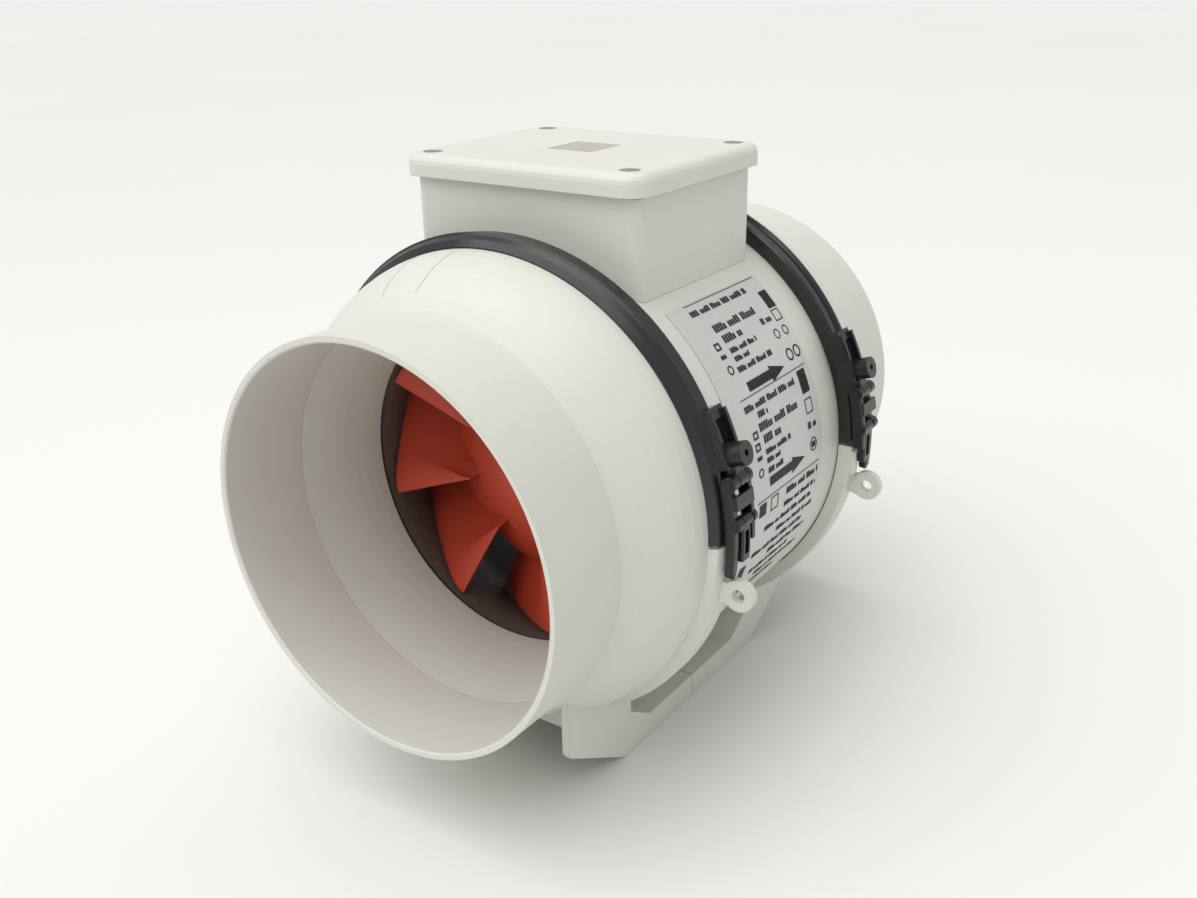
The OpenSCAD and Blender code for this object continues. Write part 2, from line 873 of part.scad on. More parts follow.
// Raised frame that carries the lever: two cheeks, a floor and a top bar
module bracket() {
    for (y = [bracket_y0, bracket_y1 - cheek_t])
        turned_arc(bracket_a0, bracket_a1 - 0.5)
            polygon([[band_r - 2.2, y], [band_r + 4.8, y],
                [band_r + 4.8, y + cheek_t], [band_r - 2.2, y + cheek_t]]);
    turned_arc(bracket_a0 + 0.4, bracket_a1)
        polygon([[band_r - 1.5, bracket_y0 + 0.8], [band_r + 1.8, bracket_y0 + 0.8],
            [band_r + 1.8, bracket_y1 - 0.8], [band_r - 1.5, bracket_y1 - 0.8]]);
    turned_arc(bracket_a1 - 2, bracket_a1 + 0.4)
        polygon([[band_r - 1.2, bracket_y0 + 0.55], [band_r + 3.4, bracket_y0 + 0.55],
            [band_r + 3.4, bracket_y1 - 0.3], [band_r - 1.2, bracket_y1 - 0.3]]);
}

boss_y = 78.5;
boss_out_r = 4.4;
module lock_boss(r, r0, r1) {
    rotate([0, -boss_deg, 0]) translate([r0, boss_y, 0]) rotate([0, 90, 0])
        cylinder(r = r, h = r1 - r0);
}

lever_y0 = 71.8;
lever_y1 = 75.6;
cheek_y0 = 82.6;
cheek_y1 = 85;
knuckle_y0 = 76.1;
knuckle_y1 = 82.2;
pivot_knuckle_r = 2.8;

module band() {
    difference() {
        union() {
            turned_arc(split_deg, 180 - split_deg) band_profile();
            bracket();
            lock_boss(boss_out_r, band_r - 0.8, band_r + 10.4);
            // Hinge knuckle
            rod_y(knuckle_r, band_y0 + 3.8, band_y1 - 3.8, hinge_x, 0);
            translate([hinge_x, band_y0 + 3.8, 0.8])
                cube([7.2, band_w - 7.6, 2.8]);
            // Knuckle that carries the lever
            ring_rod(pivot_knuckle_r, knuckle_y0, knuckle_y1,
                pivot_r, pivot_deg);
            turned_arc(pivot_deg - 0.4, bracket_a0 + 1.2) polygon([
                [band_r - 1.8, knuckle_y0 + 0.3], [pivot_r + 1.4, knuckle_y0 + 0.3],
                [pivot_r + 1.4, knuckle_y1 - 0.3], [band_r - 1.8, knuckle_y1 - 0.3]]);
        }
        lock_boss(1.25, band_r + 2.4, band_r + 12);
        rod_y(hinge_pin_r + run_gap, band_y0, band_y1, hinge_x, 0);
        ring_rod(pivot_pin_r, 70, 90, pivot_r, pivot_deg);
    }
}

module inlet_band() {
    color(band_black) band();
}

module outlet_band() {
    color(band_black) at_outlet() band();
}

module hinge_pin() {
    rod_y(hinge_pin_r, band_y0, band_y1 + 0.4, hinge_x, 0);
    rod_y(2.4, band_y0 - 1, band_y0 + 0.4, hinge_x, 0);
}

module inlet_hinge_pin() {
    color(steel) hinge_pin();
}

module outlet_hinge_pin() {
    color(steel) at_outlet() hinge_pin();
}

tongue_deg = -6;
lever_in = 99.8;
lever_out = 103;

cheek_out = 104.4;
bridge_a0 = 8.2;
bridge_a1 = 11;

module lever() {
    difference() {
        union() {
            turned_arc(tongue_deg, pivot_deg) polygon([
                [lever_in, lever_y0], [lever_out - 0.6, lever_y0],
                [lever_out, lever_y0 + 0.6], [lever_out, lever_y1 - 0.6],
                [lever_out - 0.6, lever_y1], [lever_in, lever_y1]]);
            // Rounded tip of the tongue
            rotate([0, -tongue_deg, 0])
                translate([lever_in + 0.2, (lever_y0 + lever_y1) / 2, 0])
                    rotate([0, 90, 0]) cylinder(
                        r = (lever_y1 - lever_y0) / 2 - 0.2,
                        h = lever_out - lever_in - 0.5);
            // Cheek on the far side
            turned_arc(0.4, pivot_deg) polygon([
                [lever_in, cheek_y0], [cheek_out, cheek_y0],
                [cheek_out, cheek_y1 - 0.5], [cheek_out - 0.5, cheek_y1],
                [lever_in, cheek_y1]]);
            // Bridge over the loop, just below the pivot
            turned_arc(bridge_a0, bridge_a1) polygon([
                [101.2, lever_y0 + 0.3], [105, lever_y0 + 0.3],
                [105, cheek_y1 - 0.8], [103.5, cheek_y1 - 0.8],
                [103.5, lever_y1 - 0.2], [101.2, lever_y1 - 0.2]]);
            for (y = [[lever_y0, lever_y1], [cheek_y0, cheek_y1]]) {
                ring_rod(pivot_knuckle_r, y[0] + 0.1, y[1] - 0.1,
                    pivot_r, pivot_deg);
                ring_rod(2.6, y[0] + 0.15, y[1] - 0.15, loop_r, loop_deg);
            }
        }
        ring_rod(pivot_pin_r + run_gap, 70, 90, pivot_r, pivot_deg);
        ring_rod(loop_pin_r, 70, 90, loop_r, loop_deg);
    }
}

module inlet_lever() {
    color(band_black) lever();
}

module outlet_lever() {
    color(band_black) at_outlet() lever();
}

module lever_pin() {
    ring_rod(pivot_pin_r, lever_y0 - 0.2, cheek_y1 + 0.4, pivot_r, pivot_deg);
}

module inlet_lever_pin() {
    color(band_black) lever_pin();
}

module outlet_lever_pin() {
    color(band_black) at_outlet() lever_pin();
}

loop_y0 = 76.2;
loop_y1 = 82;
loop_end = -3.4;

// Link that hangs from the lever and closes over the cradle's lug
module loop() {
    difference() {
        union() {
            ring_rod(2.4, loop_y0, loop_y1, loop_r, loop_deg);
            turned_arc(loop_end, loop_deg) polygon([
                [101.1, loop_y0], [103.6, loop_y0], [104.2, loop_y0 + 0.6],
                [104.2, loop_y1 - 0.6], [103.6, loop_y1], [101.1, loop_y1]]);
        }
        turned_arc(loop_end + 1.4, loop_deg - 2) polygon([
            [100, loop_y0 + 1.5], [106, loop_y0 + 1.5],
            [106, loop_y1 - 1.5], [100, loop_y1 - 1.5]]);
        ring_rod(loop_pin_r + run_gap, 70, 90, loop_r, loop_deg);
    }
}

module inlet_loop() {
    color(band_black) loop();
}

module outlet_loop() {
    color(band_black) at_outlet() loop();
}

module loop_pin() {
    ring_rod(loop_pin_r, lever_y0, cheek_y1 + 0.3, loop_r, loop_deg);
}

module inlet_loop_pin() {
    color(band_black) loop_pin();
}

module outlet_loop_pin() {
    color(band_black) at_outlet() loop_pin();
}

inlet_housing();
outlet_housing();
inlet_cone();
outlet_cone();
inlet_seal();
outlet_seal();
module_casing();
impeller_shroud();
impeller_hub();
impeller_blades();
impeller_nut();
motor_shaft();
motor_rotor();
front_bearing();
rear_bearing();
motor_front_shell();
motor_rear_shell();
stator_core();
stator_windings();
motor_screws();
stator_sleeve();
guide_vanes();
vane_ring();
tail_fairing();
terminal_box();
box_lid();
lid_gasket();
lid_screws();
screw_caps();
lid_badge();
terminal_block();
terminal_screws();
run_capacitor();
capacitor_clip();
motor_leads();
cable_gland();
gland_nut();
gland_seal();
cord_clamp();
clamp_screws();
rating_label();
inlet_band();
outlet_band();
inlet_hinge_pin();
outlet_hinge_pin();
inlet_lever();
outlet_lever();
inlet_lever_pin();
outlet_lever_pin();
inlet_loop();
outlet_loop();
inlet_loop_pin();
outlet_loop_pin();
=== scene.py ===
# Looks of a 160 mm inline duct fan, built round its fixed CAD frame. Metres throughout.
import json
import math
import bmesh
import bpy
from mathutils import Matrix, Vector
from mathutils.bvhtree import BVHTree


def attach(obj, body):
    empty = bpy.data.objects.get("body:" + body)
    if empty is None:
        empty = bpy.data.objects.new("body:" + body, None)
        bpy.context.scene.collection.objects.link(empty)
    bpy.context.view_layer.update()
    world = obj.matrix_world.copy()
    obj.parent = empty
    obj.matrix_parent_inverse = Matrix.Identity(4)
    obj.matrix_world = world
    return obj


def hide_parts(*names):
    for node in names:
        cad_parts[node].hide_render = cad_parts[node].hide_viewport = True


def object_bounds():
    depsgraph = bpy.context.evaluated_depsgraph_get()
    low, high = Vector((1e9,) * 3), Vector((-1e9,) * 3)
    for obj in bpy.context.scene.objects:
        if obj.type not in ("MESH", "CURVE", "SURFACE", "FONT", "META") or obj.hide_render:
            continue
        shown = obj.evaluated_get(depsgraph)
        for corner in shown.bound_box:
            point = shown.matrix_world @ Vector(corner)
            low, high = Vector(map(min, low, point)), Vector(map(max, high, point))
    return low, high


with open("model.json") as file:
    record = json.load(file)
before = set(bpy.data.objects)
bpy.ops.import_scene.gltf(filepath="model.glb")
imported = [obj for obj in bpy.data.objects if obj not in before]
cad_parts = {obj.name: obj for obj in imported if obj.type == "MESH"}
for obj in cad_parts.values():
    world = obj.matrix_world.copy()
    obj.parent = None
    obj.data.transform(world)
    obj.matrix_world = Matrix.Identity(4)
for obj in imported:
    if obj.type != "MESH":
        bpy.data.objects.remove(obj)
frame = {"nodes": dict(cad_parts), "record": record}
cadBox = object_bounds()
nodes = frame["nodes"]
mm = 0.001
print("frame loaded:", len(nodes), "nodes")


camera = {
    "place": (0.2771, -0.2561, 0.1917),
    "aim": (0.0126, 0.1197, 0.0016),
    "roll": -1.107,  # degrees, the camera leans slightly
    "lens": 35.89,
    "sensor": 36.0,
}

studio = {
    "floorSize": 30.0,
    "floorColour": (0.775, 0.775, 0.762),
    "skyColour": (0.97, 0.975, 0.965),
    "skyStrength": 0.64,
    "dayStrength": 1.95,
    "dayColour": (1.0, 0.995, 0.975),
    "dayTilt": (24.0, -12.0),  # degrees, the light comes a little from the inlet and from the far side
    "daySpread": 75.0,  # degrees, a very wide soft source
    "overheadPlace": (-0.1, 0.2, 1.2),
    "overheadTarget": (0, 0.12, 0),
    "overheadPower": 2.0,
    "overheadSize": 1.0,
}


def setCamera():
    data = bpy.data.cameras.new("fanCamera")
    data.lens = camera["lens"]
    data.sensor_width = camera["sensor"]
    data.clip_start = 0.01
    data.clip_end = 60.0
    shot = bpy.data.objects.new("fanCamera", data)
    bpy.context.scene.collection.objects.link(shot)
    place = Vector(camera["place"])
    look = (Vector(camera["aim"]) - place).to_track_quat("-Z", "Y")
    roll = Matrix.Rotation(math.radians(camera["roll"]), 4, "Z")
    shot.matrix_world = Matrix.Translation(place) @ look.to_matrix().to_4x4() @ roll
    bpy.context.scene.camera = shot


def setSky():
    world = bpy.data.worlds.new("paleRoom")
    bpy.context.scene.world = world
    bpy.context.scene.view_settings.view_transform = "Standard"
    world.use_nodes = True
    sky = world.node_tree.nodes["Background"]
    sky.inputs["Color"].default_value = (*studio["skyColour"], 1)
    sky.inputs["Strength"].default_value = studio["skyStrength"]


def linkLamp(name, data):
    lamp = bpy.data.objects.new(name, data)
    bpy.context.scene.collection.objects.link(lamp)
    return lamp


def addDaylight():
    data = bpy.data.lights.new("softDaylight", "SUN")
    data.energy = studio["dayStrength"]
    data.color = studio["dayColour"]
    data.angle = math.radians(studio["daySpread"])
    lean, side = studio["dayTilt"]
    linkLamp("softDaylight", data).rotation_euler = (math.radians(lean), math.radians(side), 0)


def addSoftbox(name, place, target):
    data = bpy.data.lights.new(name, "AREA")
    data.shape = "SQUARE"
    data.size = studio["overheadSize"]
    data.energy = studio["overheadPower"]
    lamp = linkLamp(name, data)
    lamp.location = place
    lamp.rotation_euler = (Vector(target) - Vector(place)).to_track_quat("-Z", "Y").to_euler()


def layFloor():
    half = studio["floorSize"] / 2
    low = cadBox[0].z
    shape = bmesh.new()
    corners = [shape.verts.new((x, y, low)) for x, y in
               ((-half, -half), (half, -half), (half, half), (-half, half))]
    shape.faces.new(corners)
    mesh = bpy.data.meshes.new("paleFloor")
    shape.to_mesh(mesh)
    shape.free()
    floor = bpy.data.objects.new("paleFloor", mesh)
    bpy.context.scene.collection.objects.link(floor)
    floor.data.materials.append(floorPaint())


def startMaterial(name):
    material = bpy.data.materials.new(name)
    material.use_nodes = True
    tree = material.node_tree
    return material, tree, tree.nodes["Principled BSDF"]


def placeInput(tree):
    return tree.nodes.new("ShaderNodeTexCoord").outputs["Object"]


def addNoise(tree, scale, detail=3.0, rough=0.5, stretch=None):
    source = placeInput(tree)
    if stretch:
        turn = tree.nodes.new("ShaderNodeMapping")
        turn.inputs["Scale"].default_value = stretch
        tree.links.new(source, turn.inputs["Vector"])
        source = turn.outputs["Vector"]
    noise = tree.nodes.new("ShaderNodeTexNoise")
    noise.inputs["Scale"].default_value = scale
    noise.inputs["Detail"].default_value = detail
    noise.inputs["Roughness"].default_value = rough
    tree.links.new(source, noise.inputs["Vector"])
    return noise.outputs["Fac"]


def addRange(tree, value, low, high, fromLow=0.3, fromHigh=0.7):
    spread = tree.nodes.new("ShaderNodeMapRange")
    spread.inputs["From Min"].default_value = fromLow
    spread.inputs["From Max"].default_value = fromHigh
    spread.inputs["To Min"].default_value = low
    spread.inputs["To Max"].default_value = high
    tree.links.new(value, spread.inputs["Value"])
    return spread.outputs["Result"]


def mixColour(tree, factor, first, second):
    mix = tree.nodes.new("ShaderNodeMix")
    mix.data_type = "RGBA"
    tree.links.new(factor, mix.inputs["Factor"])
    for socket, value in ((mix.inputs["A"], first), (mix.inputs["B"], second)):
        if isinstance(value, tuple):
            socket.default_value = (*value, 1)
        else:
            tree.links.new(value, socket)
    return mix.outputs["Result"]


def addBump(tree, height, depth, strength=1.0, under=None):
    bump = tree.nodes.new("ShaderNodeBump")
    bump.inputs["Strength"].default_value = strength
    bump.inputs["Distance"].default_value = depth
    tree.links.new(height, bump.inputs["Height"])
    if under is not None:
        tree.links.new(under, bump.inputs["Normal"])
    return bump.outputs["Normal"]


def softEdges(tree, radius):
    bevel = tree.nodes.new("ShaderNodeBevel")
    bevel.samples = 4
    bevel.inputs["Radius"].default_value = radius
    return bevel.outputs["Normal"]


def creviceShadeMask(tree, reach):
    # painted shade mask from ambient occlusion: 1 in a tight corner and 0 on an open face
    shade = tree.nodes.new("ShaderNodeAmbientOcclusion")
    shade.samples = 4
    shade.inputs["Distance"].default_value = reach
    return addRange(tree, shade.outputs["AO"], 1.0, 0.0, 0.25, 0.85)


def tint(colour, factor):
    return tuple(min(1.0, c * factor) for c in colour)


def floorPaint():
    material, tree, shader = startMaterial("paleFloorPaint")
    cloud = addNoise(tree, 1.6, 2.0)
    colour = mixColour(tree, addRange(tree, cloud, 0, 1), tint(studio["floorColour"], 0.985),
                       studio["floorColour"])
    tree.links.new(colour, shader.inputs["Base Color"])
    shader.inputs["Roughness"].default_value = 0.55
    shader.inputs["Specular IOR Level"].default_value = 0.2
    return material


finishes = {
    # colour, how much darker the clouds are, roughness from and to, grain size and depth, orange peel size
    # and depth, edge radius, the tone and share of the painted shade in the corners, specular
    "casing_plastic": dict(colour=(0.665, 0.668, 0.605), cloud=0.955, rough=(0.40, 0.55),
                           grain=(1900, 0.000022), peel=(90, 0.00009), edge=0.0005,
                           cornerShade=(0.42, 0.41, 0.35), cornerShadeShare=0.22, specular=0.42),
    "inner_plastic": dict(colour=(0.60, 0.60, 0.545), cloud=0.93, rough=(0.42, 0.58),
                          grain=(1700, 0.00003), peel=(70, 0.00012), edge=0.0004,
                          cornerShade=(0.36, 0.33, 0.28), cornerShadeShare=0.40, specular=0.4),
    "shroud_plastic": dict(colour=(0.125, 0.110, 0.098), cloud=0.78, rough=(0.42, 0.6),
                           grain=(1600, 0.00003), peel=(80, 0.0001), edge=0.0004,
                           cornerShade=(0.05, 0.045, 0.04), cornerShadeShare=0.5, specular=0.4),
    "impeller_plastic": dict(colour=(0.62, 0.070, 0.034), cloud=0.82, rough=(0.36, 0.52),
                             grain=(1500, 0.00003), peel=(110, 0.00009), edge=0.0005,
                             cornerShade=(0.20, 0.025, 0.012), cornerShadeShare=0.45, specular=0.45),
    "band_plastic": dict(colour=(0.014, 0.014, 0.018), cloud=0.65, rough=(0.16, 0.30),
                         grain=(1300, 0.000018), peel=(160, 0.0001), edge=0.0005,
                         cornerShade=(0.008, 0.008, 0.010), cornerShadeShare=0.6, specular=0.55),
    "cap_plastic": dict(colour=(0.235, 0.235, 0.225), cloud=0.88, rough=(0.42, 0.55),
                        grain=(1800, 0.00003), peel=(150, 0.00006), edge=0.0003,
                        cornerShade=(0.12, 0.12, 0.11), cornerShadeShare=0.4, specular=0.4),
    "badge_plastic": dict(colour=(0.47, 0.44, 0.37), cloud=0.85, rough=(0.30, 0.45),
                          grain=(900, 0.00003), peel=(160, 0.00006), edge=0.0003,
                          cornerShade=(0.30, 0.27, 0.21), cornerShadeShare=0.3, specular=0.5),
    "block_plastic": dict(colour=(0.74, 0.74, 0.69), cloud=0.93, rough=(0.4, 0.55),
                          grain=(1500, 0.00003), peel=(120, 0.00008), edge=0.0003,
                          cornerShade=(0.4, 0.38, 0.33), cornerShadeShare=0.4, specular=0.45),
    "capacitor_plastic": dict(colour=(0.70, 0.70, 0.66), cloud=0.95, rough=(0.22, 0.34),
                              grain=(1200, 0.00001), peel=(120, 0.00005), edge=0.0004,
                              cornerShade=(0.4, 0.4, 0.36), cornerShadeShare=0.3, specular=0.5),
    "clip_plastic": dict(colour=(0.035, 0.035, 0.037), cloud=0.8, rough=(0.4, 0.55),
                         grain=(1500, 0.00003), peel=(120, 0.00006), edge=0.0003,
                         cornerShade=(0.015, 0.015, 0.015), cornerShadeShare=0.5, specular=0.45),
    "seal_rubber": dict(colour=(0.045, 0.045, 0.046), cloud=0.75, rough=(0.62, 0.8),
                        grain=(2200, 0.00005), peel=(140, 0.00008), edge=0.0003,
                        cornerShade=(0.09, 0.085, 0.08), cornerShadeShare=0.35, specular=0.3),
    "lead_insulation": dict(colour=(0.06, 0.12, 0.42), cloud=0.85, rough=(0.3, 0.42),
                            grain=(900, 0.00001), peel=(200, 0.00004), edge=0.0002,
                            cornerShade=(0.03, 0.05, 0.16), cornerShadeShare=0.3, specular=0.5),
}


def mouldedFinish(name):
    # satin moulded plastic: slow clouds of tone, fine spark grain, faint orange peel, painted shade in the
    # corners
    f = finishes[name]
    material, tree, shader = startMaterial(name)
    cloud = addRange(tree, addNoise(tree, 11.0, 3.0, 0.55), 0, 1)
    colour = mixColour(tree, cloud, tint(f["colour"], f["cloud"]), f["colour"])
    speck = addRange(tree, addNoise(tree, 420.0, 2.0, 0.6), 0, 0.35, 0.5, 0.8)
    colour = mixColour(tree, speck, colour, tint(f["colour"], 1.06))
    # painted shade: the colour is pulled towards a darker tone where the ambient occlusion is deep
    corner = tree.nodes.new("ShaderNodeMath")
    corner.operation = "MULTIPLY"
    corner.inputs[1].default_value = f["cornerShadeShare"]
    tree.links.new(creviceShadeMask(tree, 0.006), corner.inputs[0])
    colour = mixColour(tree, corner.outputs["Value"], colour, f["cornerShade"])
    tree.links.new(colour, shader.inputs["Base Color"])
    wear = addNoise(tree, 38.0, 5.0, 0.62)
    tree.links.new(addRange(tree, wear, *f["rough"]), shader.inputs["Roughness"])
    normal = softEdges(tree, f["edge"])
    normal = addBump(tree, addNoise(tree, f["peel"][0], 1.0), f["peel"][1], 0.5, normal)
    normal = addBump(tree, addNoise(tree, f["grain"][0], 2.0), f["grain"][1], 0.8, normal)
    tree.links.new(normal, shader.inputs["Normal"])
    shader.inputs["Specular IOR Level"].default_value = f["specular"]
    return material


metals = {
    "zinc_steel": dict(colour=(0.62, 0.63, 0.65), worn=(0.42, 0.42, 0.43), rough=(0.24, 0.42)),
    "shaft_steel": dict(colour=(0.55, 0.55, 0.56), worn=(0.40, 0.40, 0.41), rough=(0.16, 0.30)),
    "core_steel": dict(colour=(0.30, 0.30, 0.32), worn=(0.20, 0.19, 0.19), rough=(0.40, 0.60)),
    "motor_aluminium": dict(colour=(0.60, 0.61, 0.62), worn=(0.46, 0.46, 0.47), rough=(0.38, 0.58)),
    "winding_copper": dict(colour=(0.66, 0.27, 0.11), worn=(0.40, 0.14, 0.06), rough=(0.25, 0.42)),
}


def metalFinish(name):
    f = metals[name]
    material, tree, shader = startMaterial(name)
    streak = addNoise(tree, 240.0, 4.0, 0.6, stretch=(1.0, 0.08, 1.0))
    patch = addRange(tree, addNoise(tree, 60.0, 4.0, 0.6), 0, 1)
    tree.links.new(mixColour(tree, patch, f["worn"], f["colour"]), shader.inputs["Base Color"])
    tree.links.new(addRange(tree, streak, *f["rough"]), shader.inputs["Roughness"])
    tree.links.new(addBump(tree, streak, 0.00002, 0.6, softEdges(tree, 0.0002)),
                   shader.inputs["Normal"])
    shader.inputs["Metallic"].default_value = 1.0
    return material


filmLook = {"colour": (0.56, 0.56, 0.545), "lighter": (0.61, 0.61, 0.595), "rough": (0.26, 0.36)}


def filmFinish():
    # silvery printed film: faint stretch lines and a slight ripple from being rolled on
    material, tree, shader = startMaterial("label_film")
    ripple = addNoise(tree, 30.0, 2.0, 0.5, stretch=(1.0, 0.4, 1.0))
    tree.links.new(mixColour(tree, addRange(tree, ripple, 0, 1), filmLook["colour"], filmLook["lighter"]),
                   shader.inputs["Base Color"])
    tree.links.new(addRange(tree, addNoise(tree, 90.0, 3.0), *filmLook["rough"]),
                   shader.inputs["Roughness"])
    normal = addBump(tree, ripple, 0.00015, 0.3, softEdges(tree, 0.0002))
    tree.links.new(normal, shader.inputs["Normal"])
    shader.inputs["Specular IOR Level"].default_value = 0.6
    return material


inkLook = {"colour": (0.018, 0.017, 0.017), "faded": (0.06, 0.058, 0.056)}


def inkFinish():
    material, tree, shader = startMaterial("label_ink")
    fade = addRange(tree, addNoise(tree, 700.0, 4.0, 0.65), 0, 1, 0.45, 0.75)
    tree.links.new(mixColour(tree, fade, inkLook["colour"], inkLook["faded"]),
                   shader.inputs["Base Color"])
    tree.links.new(addRange(tree, fade, 0.5, 0.65, 0, 1), shader.inputs["Roughness"])
    shader.inputs["Specular IOR Level"].default_value = 0.2
    tree.links.new(addBump(tree, fade, 0.00001, 0.5), shader.inputs["Normal"])
    return material


paint = {name: mouldedFinish(name) for name in finishes}
paint.update({name: metalFinish(name) for name in metals})
paint["label_film"] = filmFinish()
ink = inkFinish()
print("finishes made:", len(paint) + 1)


def dressNodes():
    # every CAD node gets the finish of its own slot in the record
    for part in frame["record"]["subparts"]:
        mesh = nodes[part["node"]].data
        mesh.materials.clear()
        mesh.materials.append(paint[part["material_slot"]])


def makePiece(name, shape, material, body, smooth=True):
    mesh = bpy.data.meshes.new(name)
    bmesh.ops.recalc_face_normals(shape, faces=shape.faces)
    shape.to_mesh(mesh)
    shape.free()
    for face in mesh.polygons:
        face.use_smooth = smooth
    mesh.materials.append(material)
    piece = bpy.data.objects.new(name, mesh)
    bpy.context.scene.collection.objects.link(piece)
    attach(piece, body)
    return piece


def markSharp(piece, degrees):
    mesh = piece.data
    shape = bmesh.new()
    shape.from_mesh(mesh)
    for edge in shape.edges:
        edge.smooth = len(edge.link_faces) == 2 and edge.calc_face_angle(0) < math.radians(degrees)
    shape.to_mesh(mesh)
    shape.free()


def onRing(radius, degrees, y):
    # a point at that radius and angle about the fan's axis, 0 at +X and 90 at the top
    a = math.radians(degrees)
    return Vector((radius * math.cos(a), y, radius * math.sin(a)))


wheel = {
    "blades": 8,
    "firstBlade": 153.5,  # degrees
    "sweep": 45.0,
    "rootFront": 91.0 * mm,
    "tipFront": 77.6 * mm,
    "back": 115.0 * mm,
    "thickness": 1.8 * mm,
    "tipGap": 1.2 * mm,
    "throat": 68.0 * mm,
    "shroudEnd": 82.0 * mm,
    "domeCentre": 167.9 * mm,
    "domeRadius": 82.6 * mm,
    "rimRadius": 50.0 * mm,
    "rimStart": 102.0 * mm,
    "rimEnd": 116.0 * mm,
    "rimWall": 2.2 * mm,
    "rimChamfer": 0.6 * mm,
    "domeStart": 91.4 * mm,
    "domeSteps": 22,
    "noseStart": 86.9 * mm,
    "noseSteps": 7,
    "dishRadius": 8.5 * mm,
    "dishFloor": 91.25 * mm,
    "boreRadius": 4.05 * mm,
    "bossRadius": 9 * mm,
    "bossEnd": 108 * mm,
    "chordSteps": 28,
    "spanSteps": 16,
}


def shroudRadius(y):
    run = max(0.0, min(1.0, (y - 78 * mm) / (40 * mm)))
    start = wheel["throat"] + 0.4 * mm
    return start + (wheel["shroudEnd"] - start) * (0.5 - 0.5 * math.cos(math.pi * run))


def hubRadius(y):
    if y >= wheel["rimStart"]:
        return wheel["rimRadius"]
    return math.sqrt(max(0.0, wheel["domeRadius"] ** 2 - (wheel["domeCentre"] - y) ** 2))


def bladePoint(span, chord, side):
    front = wheel["rootFront"] + (wheel["tipFront"] - wheel["rootFront"]) * span
    y = front + (wheel["back"] - front) * chord
    root = hubRadius(y) - 1.2 * mm
    radius = root * (1 - span) + (shroudRadius(y) - wheel["tipGap"]) * span
    angle = -1.5 * (1 - span) - wheel["sweep"] * chord ** 0.7
    # full in the middle of the chord, rounded at its front and thin at its back
    nose = math.sqrt(min(1.0, chord / 0.06))
    tail = 0.45 + 0.55 * min(1.0, (1 - chord) / 0.35)
    half = side * wheel["thickness"] / 2 * nose * tail
    a = math.radians(angle)
    return Vector((radius * math.cos(a) - half * 0.6 * math.sin(a), y + half * 0.8,
                   radius * math.sin(a) + half * 0.6 * math.cos(a)))


def addBlade(shape, turn):
    across, along = wheel["spanSteps"], wheel["chordSteps"]
    spin = Matrix.Rotation(math.radians(-turn), 4, "Y")
    grids = []
    for side in (-1, 1):
        rows = []
        for j in range(across + 1):
            # closer together near the nose, where the chord bends most
            rows.append([shape.verts.new(spin @ bladePoint(j / across, (i / along) ** 1.5, side))
                         for i in range(along + 1)])
        grids.append(rows)
    low, high = grids
    for j in range(across):
        for i in range(along):
            shape.faces.new((low[j][i], low[j][i + 1], low[j + 1][i + 1], low[j + 1][i]))
            shape.faces.new((high[j][i], high[j + 1][i], high[j + 1][i + 1], high[j][i + 1]))
    for i in range(along):
        for j in (0, across):
            shape.faces.new((low[j][i], high[j][i], high[j][i + 1], low[j][i + 1]))
    for j in range(across):
        shape.faces.new((low[j][along], high[j][along], high[j + 1][along], low[j + 1][along]))


def turnProfile(shape, profile, steps=160):
    # turns [radius, y] points round the fan's axis into a closed ring
    rings = []
    for k in range(steps):
        a = 2 * math.pi * k / steps
        rings.append([shape.verts.new((r * math.cos(a), y, r * math.sin(a))) for r, y in profile])
    count = len(profile)
    for k in range(steps):
        here, there = rings[k], rings[(k + 1) % steps]
        for i in range(count):
            n = (i + 1) % count
            shape.faces.new((here[i], here[n], there[n], there[i]))


def hubProfile():
    # the dome and rim, outside and then back along the inside
    start, steps, rim = wheel["domeStart"], wheel["domeSteps"], wheel["rimRadius"]
    heights = [start + (wheel["rimStart"] - start) * i / steps for i in range(steps + 1)]
    profile = [(hubRadius(y), y) for y in heights]
    profile += [(rim, 108 * mm), (rim, wheel["rimEnd"] - wheel["rimChamfer"]),
                (rim - wheel["rimChamfer"], wheel["rimEnd"]),
                (rim - wheel["rimWall"], wheel["rimEnd"]), (rim - wheel["rimWall"], 104 * mm)]
    profile += [(hubRadius(y) - 2 * mm, y + wheel["rimWall"]) for y in reversed(heights[1:])]
    return profile


def noseProfile():
    # the hub's nose, dished round the nut, and the boss behind it
    start, dish, floor = wheel["domeStart"], wheel["dishRadius"], wheel["dishFloor"]
    bore, boss, nose, steps = wheel["boreRadius"], wheel["bossRadius"], wheel["noseStart"], wheel["noseSteps"]
    profile = [(bore, floor), (dish - 0.3 * mm, floor), (dish, floor - 0.25 * mm), (dish, nose + 0.3 * mm),
               (dish + 0.7 * mm, nose - 0.2 * mm)]
    for i in range(steps + 1):
        y = nose + (start + 0.3 * mm - nose) * i / steps
        profile.append((hubRadius(y), y))
    profile += [(hubRadius(start) - 3 * mm, start + 2.0 * mm), (boss, start + 2.0 * mm),
                (boss, wheel["bossEnd"]), (bore, wheel["bossEnd"])]
    return profile


def buildWheel():
    shape = bmesh.new()
    for k in range(wheel["blades"]):
        addBlade(shape, wheel["firstBlade"] + 360 * k / wheel["blades"])
    bmesh.ops.remove_doubles(shape, verts=shape.verts, dist=1e-7)
    turnProfile(shape, hubProfile())
    turnProfile(shape, noseProfile())
    piece = makePiece("impellerWheel", shape, paint["impeller_plastic"], "rotor")
    markSharp(piece, 40)
    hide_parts("impeller_hub", "impeller_blades")
    print("impeller built:", len(piece.data.polygons), "faces")


